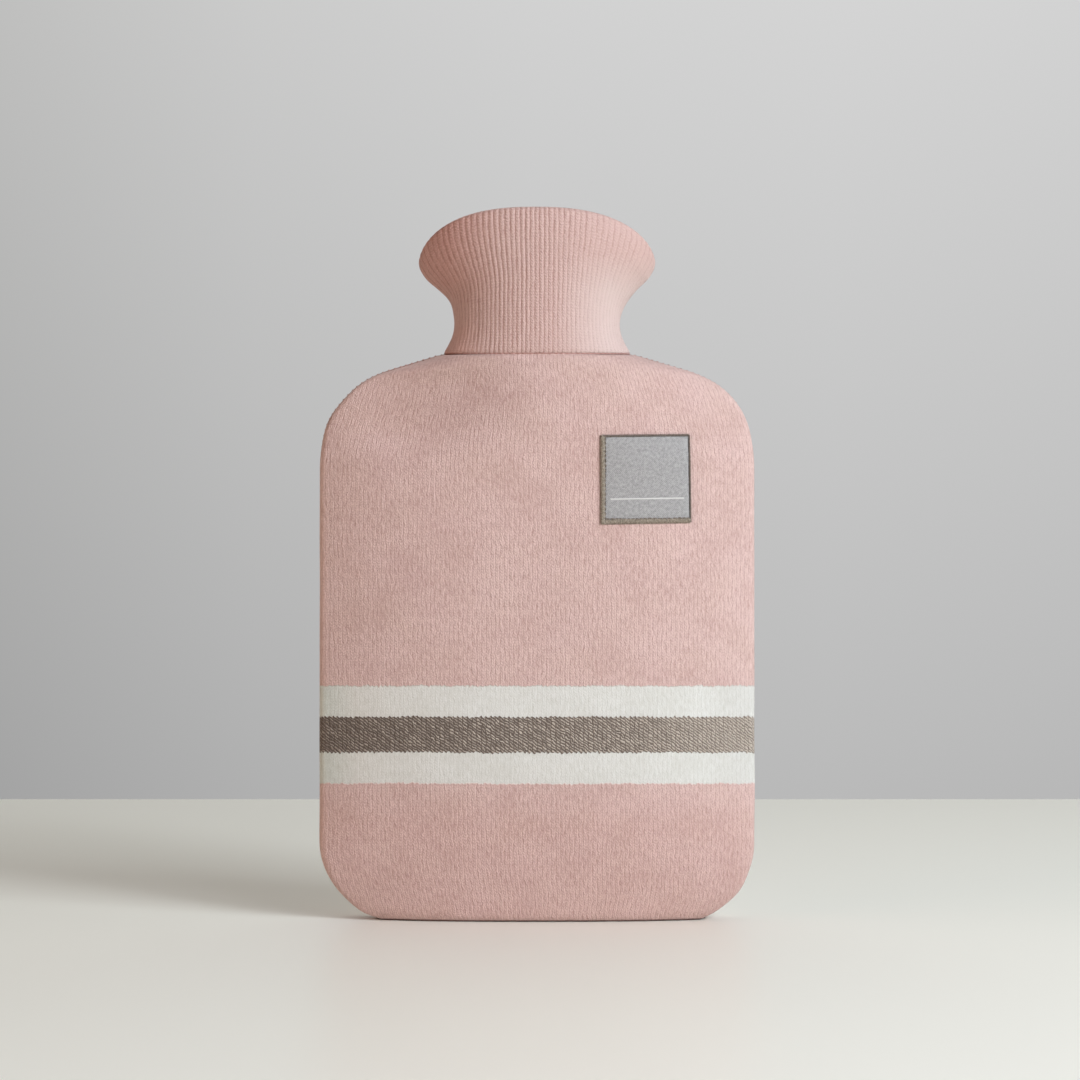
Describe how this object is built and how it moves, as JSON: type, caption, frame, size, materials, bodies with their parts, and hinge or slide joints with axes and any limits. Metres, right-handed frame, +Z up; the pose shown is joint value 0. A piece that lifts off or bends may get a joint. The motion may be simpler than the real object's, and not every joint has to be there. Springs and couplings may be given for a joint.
{
  "type": "hot water bottle cover",
  "caption": "Knitted cover for a hot water bottle, shaped as when filled: rounded striped body on a flat base, flared ribbed neck open at the top, small plain label on the front.",
  "frame": {"origin": "centre of the flat base that the cover stands on", "axes": "+Z up through the neck, -Y towards the front with the label, +X to the right seen from the front"},
  "size_m": [0.205, 0.0686, 0.3321],
  "materials": {
    "pink_knit": "fine, slightly felted plain knit with cream and taupe stripes",
    "pink_rib": "fine ribbed knit",
    "grey_woven_label": "woven label tape",
    "taupe_edging": "overcast thread edging"
  },
  "bodies": {
    "root": {"front_panel": "pink_knit", "back_panel": "pink_knit", "ribbed_neck": "pink_rib", "label": "grey_woven_label", "label_edging": "taupe_edging"}
  },
  "joints": []
}
